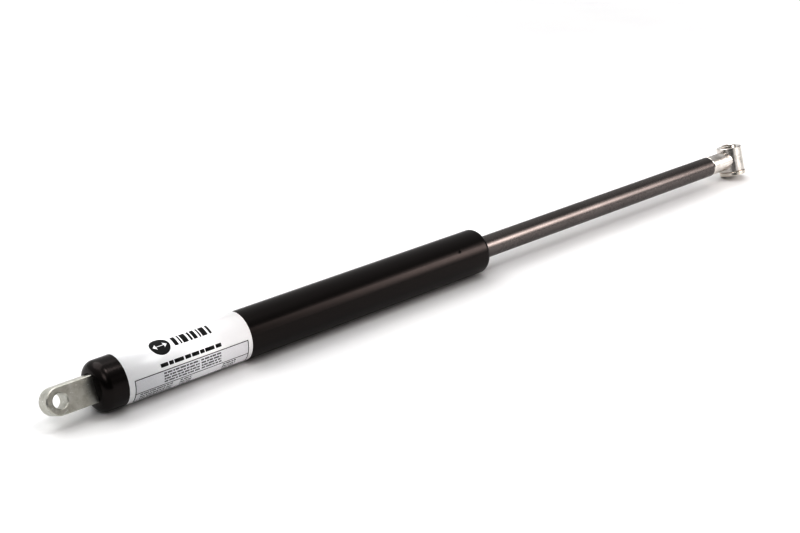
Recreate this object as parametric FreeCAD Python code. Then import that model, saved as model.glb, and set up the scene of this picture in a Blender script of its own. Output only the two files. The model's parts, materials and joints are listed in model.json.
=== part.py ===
"""Gas strut stay, fully extended, in millimetres.

+X runs along the strut from the rear eye to the rod end, +Z is up as the strut lies on a table,
and the origin is the centre of the rear eye's bore.
"""
import FreeCAD
import Part
import math
import os

V = FreeCAD.Vector
ORIGIN = V(0, 0, 0)
X_AXIS = V(1, 0, 0)

# Driving dimensions
TUBE_D = 28.0
TUBE_WALL = 1.5
ROD_D = 14.0
STROKE = 225.0
TUBE_OVER_STROKE = 51.0
ROD_OVER_STROKE = 11.0
EYE_TO_TUBE = 20.0
ROD_END_TO_EYE = 27.0
PIN_D = 8.0
PIN_PLAY = 0.1
REAR_ROLL = 24.0
FRONT_ROLL = 17.0

# Tube ends
REAR_ROUND = 5.5
FRONT_ROUND = 3.0
REAR_MOUTH_R = 8.0
FRONT_MOUTH_R = 8.6
LIP_ROUND = 0.4
SNAP_GROOVE_DEPTH = 0.5
PUNCH_MARK_R = 1.4
PUNCH_MARK_DEPTH = 0.7
PUNCH_MARK_STATION = 271.5
PUNCH_MARK_ANGLE = 41.0

# Label
LABEL_START = 14.4
LABEL_LENGTH = 78.0
LABEL_THICKNESS = 0.12
LABEL_GAP_HALF_ANGLE = 18.0

# Rear eye
EYE_WIDTH = 15.0
EYE_THICKNESS = 10.0
EYE_EDGE = 0.6
BORE_CHAMFER = 0.5

# Threads on the stud and on the rod
THREAD_D = 8.0
THREAD_PLAY = 0.05
REAR_THREAD = 9.8
FRONT_THREAD = 12.0
THREAD_CHAMFER = 0.8

# Rear plug, its stud and the filling bore
PLUG_LENGTH = 8.0
PLUG_EDGE = 0.3
SEAL_GROOVE_WIDTH = 2.1
SEAL_GROOVE_DEPTH = 1.7
SEAL_GROOVE_INSET = 1.0
STUD_SHANK_R = 4.95
STUD_HEAD_R = 6.9
STUD_HEAD_LENGTH = 2.0
FILL_BORE_R = 0.8
FILL_SEAT_R = 1.95
FILL_SEAT_DEPTH = 8.0
FILL_BALL_R = 1.8
FILL_SCREW_LENGTH = 4.5
FILL_SCREW_KEY = 2.0
FILL_SCREW_INSET = 0.3

# Guide package, from the front lip inwards
FIT_GAP = 0.05
RUNNING_GAP = 0.04
WASHER_GAP = 0.4
SUPPORT_GAP = 0.3
TURNED_EDGE = 0.3
RING_EDGE = 0.2
CLOSING_WASHER = 2.0
NOSE_INSET = 0.3
WIPER = 3.0
WIPER_LIP = 0.8
GUIDE = 8.0
GUIDE_LAND = 2.0
GUIDE_RELIEF = 0.6
SUPPORT = 1.5
SEAL = 6.0
SEAL_LIP_DEPTH = 3.3
SEAL_LIP_WIDTH = 1.4
SEAL_CORNER = 0.4
SEAL_VALLEY = 0.5
BACKING = 1.5
SNAP_WIRE = 1.5
SNAP_HEIGHT = 2.2
SNAP_EDGE = 0.5
SNAP_GAP_ANGLE = 24.0

# Piston stack
STOP_GAP = 0.3
ORIFICE_DISC = 1.0
ORIFICE_DISC_R = 11.0
ORIFICE_NOTCH_R = 0.8
PISTON = 8.0
PISTON_R = 12.2
PISTON_EDGE = 0.8
PASSAGE_R = 0.9
PASSAGE_PLACE_R = 7.4
PISTON_WASHER = 1.5
PISTON_WASHER_R = 6.2
PISTON_NUT = 4.2
RING_WIDTH = 3.0
RING_INNER_R = 10.85
RING_GROOVE_R = 10.5
RING_SIDE_GAP = 0.1
RING_SPLIT = 1.0
NUT_KEY = 13.0
NUT_EDGE = 0.6
SPIGOT_STAND = 0.5
ROD_CHAMFER = 0.7

# Rod-end fitting
NECK_D = 13.5
NECK_CHAMFER = 0.6
SOCKET_RUNOUT = 1.0
BARREL_D = 18.0
BARREL_HEIGHT = 18.0
BARREL_CHAMFER = 0.5
BUSH_R = 5.25
BUSH_FLANGE_R = 9.4
BUSH_FLANGE = 2.7
BUSH_STAND = 1.3
BUSH_TOP_EDGE = 0.3
FLANGE_TOP_EDGE = 0.4
FLANGE_FOOT_EDGE = 0.5

# Places worked out from the dimensions above
TUBE_R = TUBE_D / 2
BORE_R = TUBE_R - TUBE_WALL
ROD_R = ROD_D / 2
PIN_BORE_R = (PIN_D + PIN_PLAY) / 2
THREAD_R = THREAD_D / 2
TUBE_REAR = EYE_TO_TUBE
TUBE_FRONT = TUBE_REAR + STROKE + TUBE_OVER_STROKE
ROD_END = TUBE_FRONT + STROKE + ROD_OVER_STROKE
FRONT_EYE_X = ROD_END + ROD_END_TO_EYE
PLUG_REAR = TUBE_REAR + TUBE_WALL
PLUG_FRONT = PLUG_REAR + PLUG_LENGTH
LIP_FRONT = TUBE_FRONT - TUBE_WALL
WIPER_FRONT = LIP_FRONT - CLOSING_WASHER
GUIDE_FRONT = WIPER_FRONT - WIPER
SUPPORT_FRONT = GUIDE_FRONT - GUIDE
SEAL_FRONT = SUPPORT_FRONT - SUPPORT
BACKING_FRONT = SEAL_FRONT - SEAL
SNAP_FRONT = BACKING_FRONT - BACKING
SNAP_REAR = SNAP_FRONT - SNAP_WIRE
ROD_SHOULDER = SNAP_REAR - STOP_GAP
PISTON_FRONT = ROD_SHOULDER - ORIFICE_DISC
PISTON_REAR = PISTON_FRONT - PISTON
NUT_FRONT = PISTON_REAR - PISTON_WASHER
NUT_REAR = NUT_FRONT - PISTON_NUT
ROD_REAR = NUT_REAR - SPIGOT_STAND


def rounded_wire(corners):
    """Closed wire in the XY plane through (x, y, radius) corners, each rounded by its radius."""
    points = [V(x, y, 0) for x, y, _ in corners]
    ends, arcs = [], []
    for i, (_, _, radius) in enumerate(corners):
        here = points[i]
        back = (points[i - 1] - here).normalize()
        ahead = (points[(i + 1) % len(points)] - here).normalize()
        if radius == 0:
            ends.append((here, here))
            arcs.append(None)
            continue
        half = back.getAngle(ahead) / 2
        middle = (back + ahead).normalize()
        reach = radius / math.tan(half)
        start, stop = here + back * reach, here + ahead * reach
        crown = here + middle * (radius / math.sin(half) - radius)
        ends.append((start, stop))
        arcs.append(Part.Arc(start, crown, stop).toShape())
    edges = []
    for i, arc in enumerate(arcs):
        if arc:
            edges.append(arc)
        start, stop = ends[i][1], ends[(i + 1) % len(ends)][0]
        if start.distanceToPoint(stop) > 1e-6:
            edges.append(Part.LineSegment(start, stop).toShape())
    return Part.Wire(edges)


def turned(corners):
    """Solid turned about the X axis from (x, radius, corner rounding) points."""
    face = Part.Face(rounded_wire(corners))
    return face.revolve(ORIGIN, X_AXIS, 360)


def sharp(points):
    """The same points with no rounding."""
    return [(x, r, 0) for x, r in points]


def ring(start, stop, inner_r, outer_r, rounding=RING_EDGE):
    """Plain turned ring with softened outer corners."""
    return turned([
        (start, inner_r, 0),
        (start, outer_r, rounding),
        (stop, outer_r, rounding),
        (stop, inner_r, 0),
    ])


def rod_between(start, stop, radius):
    """Cylinder about the X axis."""
    return Part.makeCylinder(radius, stop - start, V(start, 0, 0), X_AXIS)


def hexagon(start, stop, key):
    """Hexagonal prism about the X axis, key across flats."""
    corner_r = key / math.sqrt(3)
    corners = [
        V(start, corner_r * math.cos(math.radians(60 * i)), corner_r * math.sin(math.radians(60 * i)))
        for i in range(6)
    ]
    face = Part.Face(Part.makePolygon(corners + corners[:1]))
    return face.extrude(V(stop - start, 0, 0))


def wedge_gap(start, stop, radius, centre_angle, half_angle):
    """Sector of a cylinder about the X axis, for cutting a gap in a ring."""
    a = [math.radians(centre_angle + side * half_angle) for side in (-1, 1)]
    reach = 2 * radius
    tips = [V(start, reach * math.cos(t), reach * math.sin(t)) for t in a]
    face = Part.Face(Part.makePolygon([V(start, 0, 0), tips[0], tips[1], V(start, 0, 0)]))
    return face.extrude(V(stop - start, 0, 0))


def along(direction, solid):
    """Turn a solid made about +Z so that it lies about the direction, keeping its centre."""
    turn = FreeCAD.Rotation(V(0, 0, 1), direction)
    solid.Placement = FreeCAD.Placement(ORIGIN, turn).multiply(solid.Placement)
    return solid


def pressure_tube():
    """Seamless tube with both ends rolled in, a snap-ring groove and a punch mark."""
    groove_r = BORE_R + SNAP_GROOVE_DEPTH
    body = turned([
        (TUBE_REAR, REAR_MOUTH_R, LIP_ROUND),
        (TUBE_REAR, TUBE_R, REAR_ROUND),
        (TUBE_FRONT, TUBE_R, FRONT_ROUND),
        (TUBE_FRONT, FRONT_MOUTH_R, LIP_ROUND),
        (LIP_FRONT, FRONT_MOUTH_R, LIP_ROUND),
        (LIP_FRONT, BORE_R, FRONT_ROUND - TUBE_WALL),
        (SNAP_FRONT + FIT_GAP, BORE_R, 0),
        (SNAP_FRONT + FIT_GAP, groove_r, 0),
        (SNAP_REAR - FIT_GAP, groove_r, 0),
        (SNAP_REAR - FIT_GAP, BORE_R, 0),
        (PLUG_REAR, BORE_R, REAR_ROUND - TUBE_WALL),
        (PLUG_REAR, REAR_MOUTH_R, LIP_ROUND),
    ])
    turn = math.radians(PUNCH_MARK_ANGLE)
    reach = TUBE_R + PUNCH_MARK_R - PUNCH_MARK_DEPTH
    mark = V(PUNCH_MARK_STATION, -reach * math.cos(turn), reach * math.sin(turn))
    return body.cut(Part.makeSphere(PUNCH_MARK_R, mark))


def name_label():
    """Thin film wrapped round the tube, with its open seam underneath."""
    start = TUBE_REAR + LABEL_START
    stop = start + LABEL_LENGTH
    film = ring(start, stop, TUBE_R, TUBE_R + LABEL_THICKNESS, 0)
    return film.cut(wedge_gap(start - 1, stop + 1, TUBE_R, -90, LABEL_GAP_HALF_ANGLE))


def rear_eye():
    """Flat eye with a rounded tip, a chamfered pin bore and a threaded socket in its root."""
    half = EYE_WIDTH / 2
    outline = rounded_wire([
        (EYE_TO_TUBE, half, 0),
        (-half, half, half),
        (-half, -half, half),
        (EYE_TO_TUBE, -half, 0),
    ])
    blade = Part.Face(outline).extrude(V(0, 0, EYE_THICKNESS))
    blade.translate(V(0, 0, -EYE_THICKNESS / 2))
    rims = [
        edge for edge in blade.Edges
        if edge.BoundBox.ZLength < 1e-6 and edge.BoundBox.XMin < EYE_TO_TUBE - 1
    ]
    blade = blade.makeChamfer(EYE_EDGE, rims)
    blade = blade.cut(pin_bore(EYE_THICKNESS / 2, -EYE_THICKNESS / 2))
    socket_end = EYE_TO_TUBE - REAR_THREAD - 2 * FIT_GAP
    blade = blade.cut(rod_between(socket_end, EYE_TO_TUBE + 1, THREAD_R + THREAD_PLAY))
    turn = math.radians(REAR_ROLL)
    return along(V(0, -math.cos(turn), math.sin(turn)), blade)


def pin_bore(top, bottom):
    """Cutter about Z for a pin bore with a chamfer at each mouth."""
    cutter = Part.makeCylinder(PIN_BORE_R, top - bottom + 2, V(0, 0, bottom - 1))
    wide = PIN_BORE_R + BORE_CHAMFER
    upper = Part.makeCone(PIN_BORE_R, wide, BORE_CHAMFER, V(0, 0, top - BORE_CHAMFER))
    lower = Part.makeCone(wide, PIN_BORE_R, BORE_CHAMFER, V(0, 0, bottom))
    return cutter.fuse([upper, lower])


def rear_plug():
    """Plug under the rolled rear end, with a seal groove and a seat for the stud's head."""
    outer_r = BORE_R - FIT_GAP
    groove_r, groove_start, groove_stop = seal_groove()
    head_seat = PLUG_FRONT - STUD_HEAD_LENGTH
    return turned([
        (TUBE_REAR + FIT_GAP, STUD_SHANK_R + FIT_GAP, 0),
        (TUBE_REAR + FIT_GAP, REAR_MOUTH_R - FIT_GAP, 0),
        (PLUG_REAR + FIT_GAP, REAR_MOUTH_R - FIT_GAP, 0),
        (PLUG_REAR + FIT_GAP, outer_r, REAR_ROUND - TUBE_WALL),
        (groove_start, outer_r, 0),
        (groove_start, groove_r, 0),
        (groove_stop, groove_r, 0),
        (groove_stop, outer_r, 0),
        (PLUG_FRONT, outer_r, PLUG_EDGE),
        (PLUG_FRONT, STUD_HEAD_R + FIT_GAP, 0),
        (head_seat, STUD_HEAD_R + FIT_GAP, 0),
        (head_seat, STUD_SHANK_R + FIT_GAP, 0),
    ])


def seal_groove():
    """Bottom radius, start and stop of the plug's seal groove."""
    stop = PLUG_FRONT - SEAL_GROOVE_INSET
    return BORE_R - SEAL_GROOVE_DEPTH, stop - SEAL_GROOVE_WIDTH, stop


def rear_plug_seal():
    """O-ring between the plug and the tube."""
    groove_r, start, stop = seal_groove()
    section_r = (BORE_R - groove_r) / 2 - FIT_GAP
    centre = V((start + stop) / 2, 0, 0)
    return Part.makeTorus((BORE_R + groove_r) / 2, section_r, centre, X_AXIS)


def rear_stud():
    """Threaded stud whose head sits inside the plug, with the stepped filling bore."""
    tip = EYE_TO_TUBE - REAR_THREAD
    head_seat = PLUG_FRONT - STUD_HEAD_LENGTH
    seat_end = tip + FILL_SEAT_DEPTH
    return turned(sharp([
        (tip, FILL_SEAT_R),
        (tip, THREAD_R - THREAD_CHAMFER),
        (tip + THREAD_CHAMFER, THREAD_R),
        (TUBE_REAR + FIT_GAP, THREAD_R),
        (TUBE_REAR + FIT_GAP, STUD_SHANK_R),
        (head_seat, STUD_SHANK_R),
        (head_seat, STUD_HEAD_R),
        (PLUG_FRONT - FIT_GAP, STUD_HEAD_R),
        (PLUG_FRONT - FIT_GAP, FILL_BORE_R),
        (seat_end + FILL_SEAT_R - FILL_BORE_R, FILL_BORE_R),
        (seat_end, FILL_SEAT_R),
    ]))


def fill_ball_centre():
    """Station where the ball touches the conical seat of the filling bore."""
    seat_end = EYE_TO_TUBE - REAR_THREAD + FILL_SEAT_DEPTH
    return seat_end + FILL_SEAT_R - FILL_BALL_R * math.sqrt(2) - FIT_GAP


def fill_ball():
    """Ball that closes the filling bore."""
    return Part.makeSphere(FILL_BALL_R, V(fill_ball_centre(), 0, 0))


def fill_screw():
    """Grub screw with a hexagon socket, holding the ball on its seat."""
    start = EYE_TO_TUBE - REAR_THREAD + FILL_SCREW_INSET
    stop = start + FILL_SCREW_LENGTH
    radius = FILL_SEAT_R - FIT_GAP
    body = turned(sharp([(start, 0), (start, radius), (stop, radius), (stop, 0)]))
    body = body.cut(hexagon(start - 1, start + FILL_SCREW_LENGTH / 2, FILL_SCREW_KEY))
    return body.cut(Part.makeSphere(FILL_BALL_R + FIT_GAP, V(fill_ball_centre(), 0, 0)))


def retaining_ring():
    """Round-cornered snap ring in the tube's groove, open at the top."""
    outer_r = BORE_R + SNAP_GROOVE_DEPTH - FIT_GAP
    body = ring(SNAP_REAR, SNAP_FRONT, outer_r - SNAP_HEIGHT, outer_r, SNAP_EDGE)
    return body.cut(wedge_gap(SNAP_REAR - 1, SNAP_FRONT + 1, outer_r, 90, SNAP_GAP_ANGLE / 2))


def backing_washer():
    """Washer that carries the seal."""
    return ring(SNAP_FRONT, BACKING_FRONT, ROD_R + WASHER_GAP, BORE_R - FIT_GAP)


def rod_seal():
    """Grooved rubber seal, its lips towards the gas."""
    outer_r, inner_r = BORE_R - FIT_GAP, ROD_R + RUNNING_GAP
    middle_r = (outer_r + inner_r) / 2
    return turned([
        (BACKING_FRONT, inner_r + SEAL_LIP_WIDTH, TURNED_EDGE),
        (BACKING_FRONT, inner_r, 0),
        (SEAL_FRONT, inner_r, 0),
        (SEAL_FRONT, outer_r, SEAL_CORNER),
        (BACKING_FRONT, outer_r, 0),
        (BACKING_FRONT, outer_r - SEAL_LIP_WIDTH, TURNED_EDGE),
        (BACKING_FRONT + SEAL_LIP_DEPTH, middle_r, SEAL_VALLEY),
    ])


def seal_support():
    """Plastic ring that keeps the seal from being pushed into the guide's gap."""
    return ring(SEAL_FRONT, SUPPORT_FRONT, ROD_R + SUPPORT_GAP, BORE_R - FIT_GAP)


def rod_guide():
    """Bearing bush for the rod, with a relief groove round its outside."""
    outer_r = BORE_R - FIT_GAP
    relief_r = outer_r - GUIDE_RELIEF
    return turned([
        (SUPPORT_FRONT, ROD_R + RUNNING_GAP, TURNED_EDGE),
        (SUPPORT_FRONT, outer_r, TURNED_EDGE),
        (SUPPORT_FRONT + GUIDE_LAND, outer_r, 0),
        (SUPPORT_FRONT + GUIDE_LAND + GUIDE_RELIEF, relief_r, 0),
        (GUIDE_FRONT - GUIDE_LAND - GUIDE_RELIEF, relief_r, 0),
        (GUIDE_FRONT - GUIDE_LAND, outer_r, 0),
        (GUIDE_FRONT, outer_r, TURNED_EDGE),
        (GUIDE_FRONT, ROD_R + RUNNING_GAP, TURNED_EDGE),
    ])


def wiper_ring():
    """Scraper ring with one lip that leans out along the rod."""
    outer_r, lip_r = BORE_R - FIT_GAP, ROD_R + RUNNING_GAP
    return turned([
        (GUIDE_FRONT, lip_r + WIPER_LIP, 0),
        (GUIDE_FRONT, outer_r, TURNED_EDGE),
        (WIPER_FRONT, outer_r, TURNED_EDGE),
        (WIPER_FRONT, lip_r, 0),
        (WIPER_FRONT - WIPER_LIP, lip_r, 0),
    ])


def front_washer():
    """Closing washer whose nose fills the rolled mouth round the rod."""
    inner_r = ROD_R + WASHER_GAP
    return turned([
        (WIPER_FRONT, inner_r, 0),
        (WIPER_FRONT, BORE_R - FIT_GAP, 0),
        (LIP_FRONT - FIT_GAP, BORE_R - FIT_GAP, FRONT_ROUND - TUBE_WALL),
        (LIP_FRONT - FIT_GAP, FRONT_MOUTH_R - FIT_GAP, 0),
        (TUBE_FRONT - NOSE_INSET, FRONT_MOUTH_R - FIT_GAP, TURNED_EDGE),
        (TUBE_FRONT - NOSE_INSET, inner_r, TURNED_EDGE),
    ])


def piston_rod():
    """Ground rod with a threaded spigot at each end."""
    tip = ROD_END + FRONT_THREAD
    return turned(sharp([
        (ROD_REAR, 0),
        (ROD_REAR, THREAD_R - THREAD_CHAMFER),
        (ROD_REAR + THREAD_CHAMFER, THREAD_R),
        (ROD_SHOULDER, THREAD_R),
        (ROD_SHOULDER, ROD_R - ROD_CHAMFER),
        (ROD_SHOULDER + ROD_CHAMFER, ROD_R),
        (ROD_END - ROD_CHAMFER, ROD_R),
        (ROD_END, ROD_R - ROD_CHAMFER),
        (ROD_END, THREAD_R),
        (tip - THREAD_CHAMFER, THREAD_R),
        (tip, THREAD_R - THREAD_CHAMFER),
        (tip, 0),
    ]))


def orifice_disc():
    """Thin disc that meters the flow through one small notch."""
    disc = ring(PISTON_FRONT, ROD_SHOULDER, THREAD_R + FIT_GAP, ORIFICE_DISC_R)
    notch = rod_between(PISTON_FRONT - 1, ROD_SHOULDER + 1, ORIFICE_NOTCH_R)
    notch.translate(V(0, 0, ORIFICE_DISC_R))
    return disc.cut(notch)


def piston():
    """Piston with a ring groove and two flow passages."""
    bore_r = THREAD_R + FIT_GAP
    groove = RING_WIDTH / 2 + RING_SIDE_GAP
    middle = (PISTON_FRONT + PISTON_REAR) / 2
    body = turned([
        (PISTON_REAR, bore_r, 0),
        (PISTON_REAR, PISTON_R, PISTON_EDGE),
        (middle - groove, PISTON_R, 0),
        (middle - groove, RING_GROOVE_R, 0),
        (middle + groove, RING_GROOVE_R, 0),
        (middle + groove, PISTON_R, 0),
        (PISTON_FRONT, PISTON_R, PISTON_EDGE),
        (PISTON_FRONT, bore_r, 0),
    ])
    for side in (-1, 1):
        passage = rod_between(PISTON_REAR - 1, PISTON_FRONT + 1, PASSAGE_R)
        passage.translate(V(0, side * PASSAGE_PLACE_R, 0))
        body = body.cut(passage)
    return body


def piston_ring():
    """Split sliding ring that runs in the tube's bore."""
    middle = (PISTON_FRONT + PISTON_REAR) / 2
    start, stop = middle - RING_WIDTH / 2, middle + RING_WIDTH / 2
    body = ring(start, stop, RING_INNER_R, BORE_R - RUNNING_GAP)
    split = Part.makeBox(
        RING_WIDTH + 2, RING_SPLIT, BORE_R, V(start - 1, -RING_SPLIT / 2, RING_GROOVE_R / 2)
    )
    return body.cut(split)


def piston_washer():
    """Washer between the piston and its nut."""
    return ring(NUT_FRONT, PISTON_REAR, THREAD_R + FIT_GAP, PISTON_WASHER_R)


def piston_nut():
    """Hexagon nut that clamps the piston on the rod."""
    nut = hexagon(NUT_REAR, NUT_FRONT, NUT_KEY)
    corner_r = NUT_KEY / math.sqrt(3)
    rim = turned([
        (NUT_REAR, 0, 0),
        (NUT_REAR, corner_r, NUT_EDGE),
        (NUT_FRONT, corner_r, NUT_EDGE),
        (NUT_FRONT, 0, 0),
    ])
    return nut.common(rim).cut(rod_between(NUT_REAR - 1, NUT_FRONT + 1, THREAD_R + FIT_GAP))


def front_direction():
    """Direction of the rod-end fitting's pin bore."""
    turn = math.radians(FRONT_ROLL)
    return V(0, math.sin(turn), math.cos(turn))


def front_eye():
    """Rod-end fitting: a round neck with a threaded socket, and a barrel across it."""
    half = BARREL_HEIGHT / 2
    neck_r = NECK_D / 2
    profile = rounded_wire(sharp([
        (0, -half),
        (BARREL_D / 2 - BARREL_CHAMFER, -half),
        (BARREL_D / 2, -half + BARREL_CHAMFER),
        (BARREL_D / 2, half - BARREL_CHAMFER),
        (BARREL_D / 2 - BARREL_CHAMFER, half),
        (0, half),
    ]))
    barrel = Part.Face(profile).revolve(ORIGIN, V(0, 1, 0), 360)
    barrel.rotate(ORIGIN, X_AXIS, 90)
    barrel = along(front_direction(), barrel)
    barrel.translate(V(FRONT_EYE_X, 0, 0))
    neck = turned(sharp([
        (ROD_END, 0),
        (ROD_END, neck_r - NECK_CHAMFER),
        (ROD_END + NECK_CHAMFER, neck_r),
        (FRONT_EYE_X, neck_r),
        (FRONT_EYE_X, 0),
    ]))
    body = barrel.fuse(neck)
    bore = Part.makeCylinder(BUSH_R + FIT_GAP, BARREL_HEIGHT + 2, V(0, 0, -half - 1))
    bore = along(front_direction(), bore)
    bore.translate(V(FRONT_EYE_X, 0, 0))
    socket_end = ROD_END + FRONT_THREAD + SOCKET_RUNOUT
    socket = rod_between(ROD_END - 1, socket_end, THREAD_R + THREAD_PLAY)
    return body.cut(bore).cut(socket).removeSplitter()


def front_bush():
    """Flanged steel sleeve through the barrel, its flange underneath."""
    bottom = -BARREL_HEIGHT / 2 - BUSH_FLANGE
    top = BARREL_HEIGHT / 2 + BUSH_STAND
    flange_top = bottom + BUSH_FLANGE
    profile = rounded_wire([
        (0, bottom, 0),
        (BUSH_FLANGE_R, bottom, FLANGE_FOOT_EDGE),
        (BUSH_FLANGE_R, flange_top, FLANGE_TOP_EDGE),
        (BUSH_R, flange_top, 0),
        (BUSH_R, top, BUSH_TOP_EDGE),
        (0, top, 0),
    ])
    sleeve = Part.Face(profile).revolve(ORIGIN, V(0, 1, 0), 360)
    sleeve.rotate(ORIGIN, X_AXIS, 90)
    sleeve = along(front_direction(), sleeve.cut(pin_bore(top, bottom)))
    sleeve.translate(V(FRONT_EYE_X, 0, 0))
    return sleeve


PIECES = [
    pressure_tube,
    name_label,
    rear_eye,
    rear_plug,
    rear_plug_seal,
    rear_stud,
    fill_ball,
    fill_screw,
    retaining_ring,
    backing_washer,
    rod_seal,
    seal_support,
    rod_guide,
    wiper_ring,
    front_washer,
    piston_rod,
    orifice_disc,
    piston,
    piston_ring,
    piston_washer,
    piston_nut,
    front_eye,
    front_bush,
]

os.makedirs("parts", exist_ok=True)
for make in PIECES:
    shape = make()
    assert shape.isValid() and len(shape.Solids) == 1, make.__name__
    shape.Solids[0].exportStep(f"parts/{make.__name__}.step")
    print(f"{make.__name__:16} {shape.Volume:10.1f} mm3")
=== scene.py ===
"""Looks of the gas strut stay: materials, label print, floor, light and camera, in metres.

The strut lies along +X with its painted tube at the rear and its rod at the front. Its -Y side
faces the camera.
"""

import json
import math

import bpy
from mathutils import Euler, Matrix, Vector


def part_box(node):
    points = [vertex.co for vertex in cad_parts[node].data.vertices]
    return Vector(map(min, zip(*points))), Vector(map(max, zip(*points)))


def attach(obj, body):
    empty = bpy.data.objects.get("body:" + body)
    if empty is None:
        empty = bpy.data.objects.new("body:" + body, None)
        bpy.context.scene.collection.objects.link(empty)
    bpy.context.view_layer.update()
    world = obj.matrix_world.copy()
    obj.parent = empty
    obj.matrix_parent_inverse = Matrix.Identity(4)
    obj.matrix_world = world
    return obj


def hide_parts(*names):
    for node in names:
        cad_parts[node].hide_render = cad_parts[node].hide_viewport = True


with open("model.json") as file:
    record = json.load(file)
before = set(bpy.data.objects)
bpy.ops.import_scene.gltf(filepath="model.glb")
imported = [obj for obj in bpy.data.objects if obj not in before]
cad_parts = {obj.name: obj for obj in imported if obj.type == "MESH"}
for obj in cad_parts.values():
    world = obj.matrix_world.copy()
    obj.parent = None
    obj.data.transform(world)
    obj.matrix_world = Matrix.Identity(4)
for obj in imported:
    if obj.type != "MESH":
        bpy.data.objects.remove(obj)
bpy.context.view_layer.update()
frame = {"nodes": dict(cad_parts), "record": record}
nodes = frame["nodes"]
mounts = {mount["name"]: mount for mount in frame["record"]["mounts"]}

MM = 0.001

# Places read from the frame
TUBE_LOW, TUBE_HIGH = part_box("pressure_tube")
LABEL_LOW, LABEL_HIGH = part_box("name_label")
TUBE_R = (TUBE_HIGH.z - TUBE_LOW.z) / 2
LABEL_R = LABEL_HIGH.z
FLOOR_Z = TUBE_LOW.z
FRONT_EYE = Vector(mounts["front_eye"]["pos_m"])
FRONT_AXIS = Vector(mounts["front_eye"]["axis"])

# Point that the camera aims at and that the far floor's glow is centred on
SCENE_CENTRE = Vector((0.2322, 0, 0.0073))

# Camera
CAMERA_AZIMUTH = -41.61
CAMERA_PITCH = 23.47
CAMERA_DISTANCE = 0.8708
CAMERA_LENS = 65.24
CAMERA_SENSOR = 36.0
CAMERA_NEAR = 0.01
VIEW_GAMMA = 0.65

# Surroundings: how bright they are away from and towards their brightest direction, up and behind,
# and the cosine of the angle from it at which they are at full brightness
ROOM_DIM, ROOM_BRIGHT = 0.06, 0.85
ROOM_GLOW = (0, 0.6, 0.8)
ROOM_FULL = 0.8

# Floor, and the glow of its far part: the distances at which it starts and is full, and its radiance
FLOOR_HALF = 20.0
GLOW_FROM, GLOW_TO = 0.6, 1.7
GLOW_MOST = 0.75

# Softboxes: name, place, point aimed at, size and radiance
SOFTBOXES = (
    ("top", (0.38, -0.20, 1.15), (0.25, 0, 0), (0.3, 0.3), 9.0),
    ("rear_overhead", (-0.10, 1.00, 1.35), (0.15, 0.35, 0), (1.8, 1.4), 2.0),
    ("front_left", (-0.55, -0.55, 1.00), (0.2, 0, 0), (0.6, 0.5), 4.0),
    ("low_card", (0.80, -0.68, 0.11), (0.5, 0, 0), (1.0, 0.22), 1.0),
)

# The key softbox is brighter towards its centre: three sheets, one behind the other
KEY_PLACE = Vector((0.92, -0.575, 0.40))
KEY_AIM = Vector((0.33, 0, 0))
KEY_SHEETS = (((0.80, 0.60), 1.5), ((0.52, 0.40), 2.8), ((0.28, 0.22), 4.0))
KEY_COLOUR = (1.0, 0.945, 0.92)
KEY_SPACING = 0.02

# Label film, in degrees and millimetres; its seam is underneath
SEAM_HALF_ANGLE = 18.0
FILM_STEP = 0.5
FILM_LIFT = 0.01

# Label print: stations from the origin and arcs round the film from the -Y line up, in millimetres,
# and the angle in degrees to which the badge's rows go on each side of its centre
INK_THICKNESS = 0.03
INK_LIFT = 0.01
INK_STEP = 0.5
RULE = 0.35
BADGE_CENTRE = (59.4, 17.2)
BADGE_R = 5.7
BADGE_HALF_TURN = 88
BADGE_ROWS = 24
BADGE_HALF_COLUMNS = 8
ARROW_REACH = 4.4
ARROW_HEAD = (2.2, 2.0)
ARROW_SHAFT = 0.6
ARROW_TIP = RULE / 8
ARROW_HALF_COLUMNS = 4
TITLE_STATIONS = (67.4, 91.2)
TITLE_ARCS = (14.2, 20.2)
TITLE_BARS = ((2.2, 1.5), (0.8, 0.9), (3.0, 1.5), (1.2, 0.9))
ADDRESS_STATIONS = (54.6, 92.9)
ADDRESS_ARCS = (5.4, 7.3)
ADDRESS_BLOCKS = ((4.4, 0.8), (2.6, 0.7), (5.6, 1.1), (3.4, 0.8))
BOX_STATIONS = (38.0, 109.4)
BOX_ARCS = (-11.4, 3.43)
SEPARATOR_ARC = -4.6
ROW_ARCS = (2.0, 0.4, -1.2, -2.8)
ROW_HEIGHT = 0.85
ROW_SPANS = ((55.4, 77.4), (78.7, 91.4))
LOWER_ARCS = (-6.0, -7.9, -9.8)
LOWER_SPANS = ((41.0, 61.0), (65.7, 73.0), (92.9, 101.4))
FINE_BLOCKS = ((1.7, 0.5), (2.9, 0.6), (1.1, 0.4), (2.3, 0.6), (3.5, 0.5), (1.4, 0.6))


# ---------------------------------------------------------------- materials

# Sockets of a Mix node for colours: its factor and its two colours, and its result
MIX_INPUTS = (0, 6, 7)
MIX_OUTPUT = 2


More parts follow.
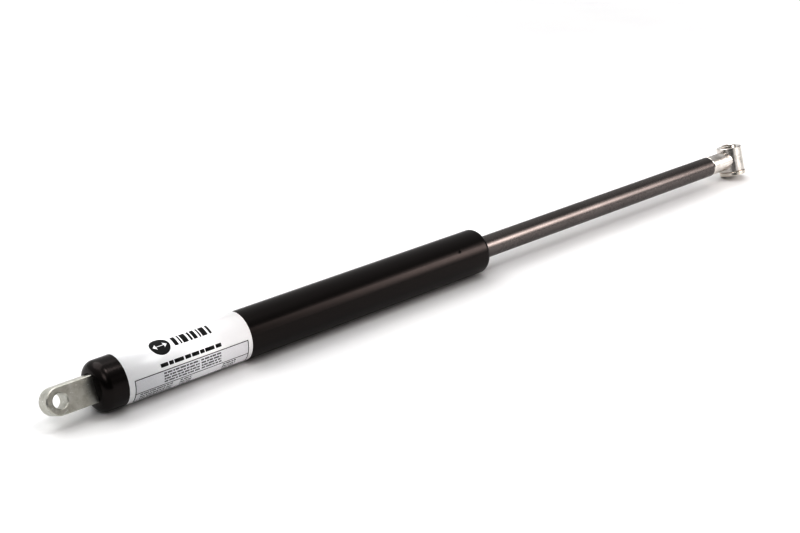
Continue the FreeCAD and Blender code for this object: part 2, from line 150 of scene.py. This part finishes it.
class Finish:
    """A Principled material under construction, with helpers for its procedural nodes."""

    def __init__(self, name, **constants):
        self.material = bpy.data.materials.new(name)
        self.material.use_nodes = True
        self.tree = self.material.node_tree
        self.shader = self.tree.nodes["Principled BSDF"]
        for socket, value in constants.items():
            self.shader.inputs[socket.replace("_", " ")].default_value = value
        self.place = self.node("ShaderNodeTexCoord").outputs["Object"]

    def node(self, kind, settings=None, **inputs):
        """A node with its settings and inputs; an input is a value or another node's output."""
        made = self.tree.nodes.new(kind)
        for name, value in (settings or {}).items():
            setattr(made, name, value)
        for name, value in inputs.items():
            self.feed(made.inputs[name.replace("_", " ")], value)
        return made

    def feed(self, socket, value):
        if isinstance(value, bpy.types.NodeSocket):
            self.tree.links.new(value, socket)
        else:
            socket.default_value = value

    def mapped(self, scale, turn=(0, 0, 0), centre=(0, 0, 0)):
        """Object coordinates about a centre, turned and then stretched by a scale."""
        moved = self.node("ShaderNodeMapping", Vector=self.place, Location=[-c for c in centre])
        turned = self.node("ShaderNodeMapping", Vector=moved.outputs[0], Rotation=turn)
        return self.node("ShaderNodeMapping", Vector=turned.outputs[0], Scale=scale).outputs[0]

    def noise(self, scale, detail=3.0, roughness=0.5, vector=None):
        made = self.node(
            "ShaderNodeTexNoise", Vector=vector or self.place, Scale=scale, Detail=detail,
            Roughness=roughness,
        )
        return made.outputs["Fac"]

    def cells(self, scale):
        """Distance to the nearest of many scattered points."""
        return self.node("ShaderNodeTexVoronoi", Vector=self.place, Scale=scale).outputs["Distance"]

    def ramp(self, factor, *stops):
        """Colours or grey levels along a factor, from (position, value) stops."""
        made = self.node("ShaderNodeValToRGB", Fac=factor)
        ramp = made.color_ramp
        while len(ramp.elements) < len(stops):
            ramp.elements.new(1)
        for element, (position, value) in zip(ramp.elements, stops):
            element.position = position
            element.color = (*value, 1) if isinstance(value, tuple) else (value, value, value, 1)
        return made.outputs["Color"]

    def range(self, factor, low, high):
        """A factor from 0 to 1 carried to a range."""
        return self.node("ShaderNodeMapRange", Value=factor, To_Min=low, To_Max=high).outputs[0]

    def blend(self, factor, first, second):
        """Two colours mixed by a factor."""
        made = self.node("ShaderNodeMix", {"data_type": "RGBA"})
        for index, value in zip(MIX_INPUTS, (factor, first, second)):
            self.feed(made.inputs[index], (*value, 1) if isinstance(value, tuple) else value)
        return made.outputs[MIX_OUTPUT]

    def turned_place(self, axis, centre=(0, 0, 0)):
        """Coordinates (station along an axis, distance from it, 0) for lathe marks."""
        spin = Vector(axis).rotation_difference(Vector((0, 0, 1))).to_euler()
        local = self.mapped((1, 1, 1), spin, centre)
        split = self.node("ShaderNodeSeparateXYZ", Vector=local).outputs
        flat = self.node("ShaderNodeCombineXYZ", X=split[0], Y=split[1]).outputs[0]
        reach = self.node("ShaderNodeVectorMath", {"operation": "LENGTH"})
        self.feed(reach.inputs[0], flat)
        return self.node("ShaderNodeCombineXYZ", X=split[2], Y=reach.outputs["Value"]).outputs[0]

    def bump(self, height, strength, distance, below=None):
        inputs = {"Height": height, "Strength": strength, "Distance": distance}
        if below is not None:
            inputs["Normal"] = below
        return self.node("ShaderNodeBump", **inputs).outputs[0]

    def wear(self, **sockets):
        """Connects textures to the shader's sockets and returns the finished material."""
        for socket, value in sockets.items():
            self.feed(self.shader.inputs[socket.replace("_", " ")], value)
        return self.material


def tube_paint():
    """Satin black stove enamel with a fine orange peel and a little dust."""
    f = Finish("tube_paint", Metallic=0.0, Specular_IOR_Level=0.42, Specular_Tint=(1.0, 0.86, 0.83, 1))
    cloud = f.noise(55, 4)
    dust = f.ramp(f.cells(420), (0.0, 1.0), (0.035, 0.0))
    base = f.ramp(cloud, (0.3, (0.0026, 0.0021, 0.0019)), (0.7, (0.0042, 0.0035, 0.0031)))
    peel = f.bump(f.noise(900, 2), 0.12, 0.02 * MM)
    return f.wear(
        Base_Color=f.blend(dust, base, (0.03, 0.027, 0.025)),
        Roughness=f.range(f.noise(160, 3), 0.20, 0.28),
        Normal=f.bump(f.noise(70, 2), 0.06, 0.05 * MM, peel),
    )


def nitrided_steel():
    """Ground rod, nitrided dark brown-grey, with fine grinding rings and a soft tint change."""
    f = Finish("nitrided_steel", Metallic=1.0)
    lathe = f.turned_place((1, 0, 0))
    rings = f.noise(3600, 2, 0.6, lathe)
    tint = f.ramp(
        f.noise(28, 4), (0.3, (0.150, 0.136, 0.132)), (0.7, (0.185, 0.169, 0.164))
    )
    return f.wear(
        Base_Color=f.blend(f.range(rings, 0.0, 0.04), tint, (0.06, 0.05, 0.047)),
        Roughness=f.range(f.noise(220, 3), 0.25, 0.29),
        Normal=f.bump(rings, 0.01, 0.003 * MM),
    )


def zinc_plate():
    """Dull clear zinc over a punched blank: mottled, with fine scratches."""
    f = Finish("zinc_plate", Metallic=1.0)
    spangle = f.noise(240, 5, 0.65)
    scratch_place = f.mapped((90, 900, 900), Euler((0, 0.35, 0.6)))
    scratch = f.ramp(f.noise(1.0, 2, 0.5, scratch_place), (0.62, 0.0), (0.72, 1.0))
    base = f.ramp(
        spangle, (0.25, (0.46, 0.455, 0.41)), (0.5, (0.58, 0.575, 0.53)), (0.78, (0.68, 0.68, 0.65))
    )
    grain = f.bump(f.noise(1500, 3, 0.6), 0.25, 0.02 * MM)
    return f.wear(
        Base_Color=f.blend(scratch, base, (0.78, 0.78, 0.76)),
        Roughness=f.range(f.noise(420, 4), 0.30, 0.46),
        Normal=f.bump(scratch, 0.15, 0.01 * MM, grain),
    )


def turned_steel(name, light, dark, axis, centre, roughness):
    """Bright plated steel with lathe marks about an axis."""
    f = Finish(name, Metallic=1.0)
    lathe = f.turned_place(axis, centre)
    rings = f.noise(3800, 3, 0.6, lathe)
    stain = f.noise(160, 4)
    base = f.ramp(stain, (0.32, dark), (0.62, light))
    return f.wear(
        Base_Color=f.blend(f.range(rings, 0.0, 0.3), base, dark),
        Roughness=f.range(f.noise(500, 3), *roughness),
        Normal=f.bump(rings, 0.12, 0.006 * MM),
    )


def bright_steel():
    return turned_steel(
        "bright_steel", (0.80, 0.77, 0.74), (0.60, 0.57, 0.54), FRONT_AXIS, FRONT_EYE, (0.20, 0.30)
    )


def bush_steel():
    return turned_steel(
        "bush_steel", (0.84, 0.80, 0.75), (0.62, 0.58, 0.53), FRONT_AXIS, FRONT_EYE, (0.18, 0.28)
    )


def plain_steel():
    return turned_steel(
        "plain_steel", (0.50, 0.50, 0.51), (0.30, 0.30, 0.31), (1, 0, 0), (0, 0, 0), (0.26, 0.40)
    )


def aluminium():
    return turned_steel(
        "aluminium", (0.76, 0.76, 0.78), (0.60, 0.60, 0.62), (1, 0, 0), (0, 0, 0), (0.24, 0.36)
    )


def bronze():
    """Sintered bronze: open pores and a warm, uneven colour."""
    f = Finish("bronze", Metallic=1.0)
    pores = f.ramp(f.cells(2600), (0.05, 1.0), (0.22, 0.0))
    base = f.ramp(f.noise(300, 4), (0.3, (0.42, 0.25, 0.10)), (0.7, (0.62, 0.41, 0.19)))
    return f.wear(
        Base_Color=f.blend(pores, base, (0.10, 0.06, 0.03)),
        Roughness=f.range(f.noise(800, 3), 0.34, 0.5),
        Normal=f.bump(pores, 0.3, 0.03 * MM),
    )


def rubber():
    """Moulded nitrile rubber with a dull, faintly dusty skin."""
    f = Finish("rubber", Metallic=0.0, Specular_IOR_Level=0.35)
    return f.wear(
        Base_Color=f.ramp(f.noise(260, 4), (0.3, (0.012, 0.012, 0.012)), (0.75, (0.03, 0.029, 0.028))),
        Roughness=f.range(f.noise(700, 4), 0.5, 0.72),
        Normal=f.bump(f.noise(2400, 3), 0.2, 0.02 * MM),
    )


def white_plastic():
    """Filled white plastic, slightly cream, with a machined grain."""
    f = Finish("white_plastic", Metallic=0.0, Subsurface_Weight=0.05)
    grain = f.noise(2200, 2, 0.5, f.turned_place((1, 0, 0)))
    return f.wear(
        Base_Color=f.ramp(f.noise(180, 4), (0.3, (0.72, 0.70, 0.63)), (0.7, (0.83, 0.82, 0.77))),
        Roughness=f.range(f.noise(500, 3), 0.38, 0.5),
        Normal=f.bump(grain, 0.15, 0.01 * MM),
    )


def label_film():
    """Glossy white film that follows small bubbles and stretch lines in its glue."""
    f = Finish("label_film", Metallic=0.0, Coat_Weight=0.4, Coat_Roughness=0.12, Specular_IOR_Level=0.4)
    stretch = f.noise(1.0, 3, 0.5, f.mapped((40, 260, 260)))
    bubbles = f.ramp(f.cells(150), (0.06, 1.0), (0.14, 0.0))
    glue = f.bump(bubbles, 0.05, 0.03 * MM)
    return f.wear(
        Base_Color=f.ramp(f.noise(60, 3), (0.3, (0.92, 0.92, 0.93)), (0.7, (0.95, 0.95, 0.955))),
        Roughness=f.range(f.noise(300, 3), 0.26, 0.36),
        Normal=f.bump(stretch, 0.10, 0.06 * MM, glue),
    )


def print_ink(name, dark, light):
    """Thermal print: dots of uneven density with a soft sheen."""
    f = Finish(name, Metallic=0.0, Specular_IOR_Level=0.35)
    return f.wear(
        Base_Color=f.ramp(f.noise(1800, 3, 0.6), (0.35, dark), (0.75, light)),
        Roughness=f.range(f.noise(600, 3), 0.35, 0.5),
        Normal=f.bump(f.noise(3500, 2), 0.1, 0.005 * MM),
    )


FINISHES = {
    "tube_paint": tube_paint(),
    "label_film": label_film(),
    "zinc_plate": zinc_plate(),
    "nitrided_steel": nitrided_steel(),
    "bright_steel": bright_steel(),
    "bush_steel": bush_steel(),
    "plain_steel": plain_steel(),
    "bronze": bronze(),
    "aluminium": aluminium(),
    "rubber": rubber(),
    "white_plastic": white_plastic(),
}
BLACK_INK = print_ink("black_ink", (0.006, 0.006, 0.006), (0.02, 0.02, 0.02))
GREY_INK = print_ink("grey_ink", (0.16, 0.16, 0.165), (0.26, 0.26, 0.27))
BOX_TINT = print_ink("box_tint", (0.80, 0.80, 0.82), (0.86, 0.86, 0.88))

for part in frame["record"]["subparts"]:
    mesh = nodes[part["node"]].data
    mesh.materials.clear()
    mesh.materials.append(FINISHES[part["material_slot"]])


# ---------------------------------------------------------------- label

def on_label(station, arc, radius):
    """Point at a station and an arc length above the -Y line, at a radius, from millimetres."""
    angle = arc * MM / LABEL_R
    return (station * MM, -radius * math.cos(angle) * MM, radius * math.sin(angle) * MM)


def closed_shell(grid, inner, outer):
    """Points, skin faces and edge faces of a thin shell over a grid of (station, arc) rows."""
    rows, columns = len(grid), len(grid[0])
    points = [on_label(*place, radius) for radius in (outer, inner) for row in grid for place in row]
    top = [
        (i * columns + j, i * columns + j + 1, (i + 1) * columns + j + 1, (i + 1) * columns + j)
        for i in range(rows - 1)
        for j in range(columns - 1)
    ]
    under = rows * columns
    bottom = [tuple(under + k for k in reversed(face)) for face in top]
    rim = (
        [j for j in range(columns)]
        + [i * columns + columns - 1 for i in range(1, rows)]
        + [(rows - 1) * columns + j for j in range(columns - 2, -1, -1)]
        + [i * columns for i in range(rows - 2, 0, -1)]
    )
    edge = [(b, a, a + under, b + under) for a, b in zip(rim, rim[1:] + rim[:1])]
    return points, top + bottom, edge


def on_tube(name, grids, inner, outer, finish):
    """Thin closed shells round the tube, made one piece that moves with it."""
    points, faces, smooth = [], [], []
    for grid in grids:
        start = len(points)
        more, skin, edge = closed_shell(grid, inner, outer)
        points += more
        faces += [tuple(start + k for k in face) for face in skin + edge]
        smooth += [True] * len(skin) + [False] * len(edge)
    mesh = bpy.data.meshes.new(name)
    mesh.from_pydata(points, [], faces)
    mesh.polygons.foreach_set("use_smooth", smooth)
    mesh.materials.append(finish)
    piece = bpy.data.objects.new(name, mesh)
    bpy.context.scene.collection.objects.link(piece)
    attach(piece, "tube")
    return piece


def evenly(low, high, step):
    """Places from low to high, no further apart than a step."""
    count = max(1, math.ceil((high - low) / step))
    return [low + (high - low) * k / count for k in range(count + 1)]


def patch(stations, arcs, step=INK_STEP):
    """Grid of a rectangle."""
    return [[(station, arc) for arc in evenly(*arcs, step)] for station in stations]


def blocks(stations, arcs, pattern):
    """Grids of plain blocks along a line, from a repeated pattern of (width, gap)."""
    grids, station, turn = [], stations[0], 0
    while station < stations[1]:
        width, gap = pattern[turn % len(pattern)]
        grids.append(patch((station, min(station + width, stations[1])), arcs))
        station += width + gap
        turn += 1
    return grids


def rows_of_blocks(row_arcs, spans):
    """Grids for fine print: several rows of small blocks over the same spans."""
    grids = []
    for turn, arc in enumerate(row_arcs):
        pattern = FINE_BLOCKS[turn:] + FINE_BLOCKS[:turn]
        for span in spans:
            grids += blocks(span, (arc - ROW_HEIGHT / 2, arc + ROW_HEIGHT / 2), pattern)
    return grids


def row_across(station, arc, reach, half_columns):
    """Row of places at a station, out to a reach on both sides of an arc."""
    return [
        (station, arc + reach * side / half_columns) for side in range(-half_columns, half_columns + 1)
    ]


def badge_disc():
    """Grid of the round badge."""
    station, arc = BADGE_CENTRE
    rows = []
    for k in range(BADGE_ROWS + 1):
        turn = math.radians(BADGE_HALF_TURN * (2 * k / BADGE_ROWS - 1))
        reach = BADGE_R * math.cos(turn)
        row_station = station + BADGE_R * math.sin(turn)
        rows.append(row_across(row_station, arc, reach, BADGE_HALF_COLUMNS))
    return rows


def badge_arrow():
    """Grids of a double-headed arrow that runs along the strut."""
    station, arc = BADGE_CENTRE
    length, half = ARROW_HEAD
    neck = ARROW_REACH - length
    grids = [patch((station - neck, station + neck), (arc - ARROW_SHAFT / 2, arc + ARROW_SHAFT / 2))]
    for side in (-1, 1):
        rows = [(station + side * neck, half), (station + side * ARROW_REACH, ARROW_TIP)]
        grids.append([
            row_across(place, arc, reach, ARROW_HALF_COLUMNS) for place, reach in rows[::side]
        ])
    return grids


def box_rules():
    """Grids of the ruled box and the line across it."""
    low, high = BOX_ARCS
    rules = [
        patch(BOX_STATIONS, (arc - RULE / 2, arc + RULE / 2)) for arc in (low, high, SEPARATOR_ARC)
    ]
    rules += [
        patch((station - RULE / 2, station + RULE / 2), (low - RULE / 2, high + RULE / 2))
        for station in BOX_STATIONS
    ]
    return rules


def printed(name, grids, layer, finish):
    """Ink above the film, on layer 0 or on the next one up."""
    inner = LABEL_R / MM + INK_LIFT + layer * (INK_THICKNESS + INK_LIFT)
    return on_tube(name, grids, inner, inner + INK_THICKNESS, finish)


SEAM_ARC = math.radians(SEAM_HALF_ANGLE) * LABEL_R / MM
HALF_TURN = math.pi * LABEL_R / MM
film = on_tube(
    "label_film",
    [patch(
        (LABEL_LOW.x / MM, LABEL_HIGH.x / MM),
        (-HALF_TURN / 2 + SEAM_ARC, 1.5 * HALF_TURN - SEAM_ARC),
        FILM_STEP,
    )],
    TUBE_R / MM + FILM_LIFT,
    LABEL_R / MM,
    FINISHES["label_film"],
)
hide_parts("name_label")

printed("badge_disc", [badge_disc()], 0, BLACK_INK)
printed("badge_arrow", badge_arrow(), 1, FINISHES["label_film"])
printed("title_bars", blocks(TITLE_STATIONS, TITLE_ARCS, TITLE_BARS), 0, BLACK_INK)
printed("address_blocks", blocks(ADDRESS_STATIONS, ADDRESS_ARCS, ADDRESS_BLOCKS), 0, BLACK_INK)
printed("box_tint", [patch(BOX_STATIONS, BOX_ARCS)], 0, BOX_TINT)
printed("box_rules", box_rules(), 1, BLACK_INK)
printed(
    "fine_print",
    rows_of_blocks(ROW_ARCS, ROW_SPANS) + rows_of_blocks(LOWER_ARCS, LOWER_SPANS),
    1,
    GREY_INK,
)


# ---------------------------------------------------------------- stage, light, camera

def floor_finish():
    """Matt white table top with a barely visible grain, which glows where the lights don't reach."""
    f = Finish("floor_white", Specular_IOR_Level=0.2, Emission_Color=(1, 1, 1, 1))
    reach = f.node("ShaderNodeVectorMath", {"operation": "DISTANCE"})
    f.feed(reach.inputs[0], f.place)
    f.feed(reach.inputs[1], SCENE_CENTRE)
    glow = f.node(
        "ShaderNodeMapRange", {"interpolation_type": "SMOOTHSTEP"}, Value=reach.outputs["Value"],
        From_Min=GLOW_FROM, From_Max=GLOW_TO, To_Max=GLOW_MOST,
    )
    return f.wear(
        Emission_Strength=glow.outputs[0],
        Base_Color=f.ramp(f.noise(14, 3), (0.3, (0.83, 0.83, 0.835)), (0.7, (0.85, 0.85, 0.85))),
        Roughness=f.range(f.noise(40, 3), 0.5, 0.6),
        Normal=f.bump(f.noise(400, 2), 0.03, 0.01 * MM),
    )


floor_mesh = bpy.data.meshes.new("floor")
floor_mesh.from_pydata(
    [(x * FLOOR_HALF, y * FLOOR_HALF, FLOOR_Z) for x, y in ((-1, -1), (1, -1), (1, 1), (-1, 1))],
    [],
    [(0, 1, 2, 3)],
)
floor_mesh.materials.append(floor_finish())
floor = bpy.data.objects.new("floor", floor_mesh)
bpy.context.scene.collection.objects.link(floor)


def softbox(name, place, aim, size, radiance, colour=(1, 1, 1)):
    """Rectangular area light that faces a point."""
    light = bpy.data.lights.new(name, "AREA")
    light.shape = "RECTANGLE"
    light.size, light.size_y = size
    light.energy = radiance * math.pi * size[0] * size[1]
    light.color = colour
    lamp = bpy.data.objects.new(name, light)
    lamp.location = place
    lamp.rotation_euler = (Vector(aim) - Vector(place)).to_track_quat("-Z", "Y").to_euler()
    lamp.visible_camera = False
    bpy.context.scene.collection.objects.link(lamp)


for row in SOFTBOXES:
    softbox(*row)

key_step = KEY_SPACING * (KEY_PLACE - KEY_AIM).normalized()
for index, (size, radiance) in enumerate(KEY_SHEETS):
    softbox(f"key_{index}", KEY_PLACE + index * key_step, KEY_AIM, size, radiance, KEY_COLOUR)


def studio_world():
    """White backdrop to the camera, and to the object a room that is bright behind and dim in front."""
    world = bpy.data.worlds.new("studio")
    world.use_nodes = True
    tree = world.node_tree
    across = tree.nodes.new("ShaderNodeVectorMath")
    across.operation = "DOT_PRODUCT"
    across.inputs[1].default_value = ROOM_GLOW
    tree.links.new(tree.nodes.new("ShaderNodeTexCoord").outputs["Generated"], across.inputs[0])
    strength = tree.nodes.new("ShaderNodeMapRange")
    strength.interpolation_type = "SMOOTHSTEP"
    limits = {"From Max": ROOM_FULL, "To Min": ROOM_DIM, "To Max": ROOM_BRIGHT}
    for socket, value in limits.items():
        strength.inputs[socket].default_value = value
    tree.links.new(across.outputs["Value"], strength.inputs["Value"])
    room = tree.nodes["Background"]
    backdrop = tree.nodes.new("ShaderNodeBackground")
    for background in (room, backdrop):
        background.inputs["Color"].default_value = (1, 1, 1, 1)
    tree.links.new(strength.outputs[0], room.inputs["Strength"])
    choice = tree.nodes.new("ShaderNodeMixShader")
    tree.links.new(tree.nodes.new("ShaderNodeLightPath").outputs["Is Camera Ray"], choice.inputs[0])
    tree.links.new(room.outputs[0], choice.inputs[1])
    tree.links.new(backdrop.outputs[0], choice.inputs[2])
    tree.links.new(choice.outputs[0], tree.nodes["World Output"].inputs["Surface"])
    return world


bpy.context.scene.world = studio_world()
bpy.context.scene.view_settings.view_transform = "Standard"
bpy.context.scene.view_settings.gamma = VIEW_GAMMA

camera_data = bpy.data.cameras.new("camera")
camera_data.lens = CAMERA_LENS
camera_data.sensor_width = CAMERA_SENSOR
camera_data.clip_start = CAMERA_NEAR
camera = bpy.data.objects.new("camera", camera_data)
azimuth, pitch = math.radians(CAMERA_AZIMUTH), math.radians(CAMERA_PITCH)
towards_camera = Vector((
    math.sin(azimuth) * math.cos(pitch), -math.cos(azimuth) * math.cos(pitch), math.sin(pitch)
))
camera.location = SCENE_CENTRE + CAMERA_DISTANCE * towards_camera
camera.rotation_euler = (-towards_camera).to_track_quat("-Z", "Y").to_euler()
bpy.context.scene.collection.objects.link(camera)
bpy.context.scene.camera = camera
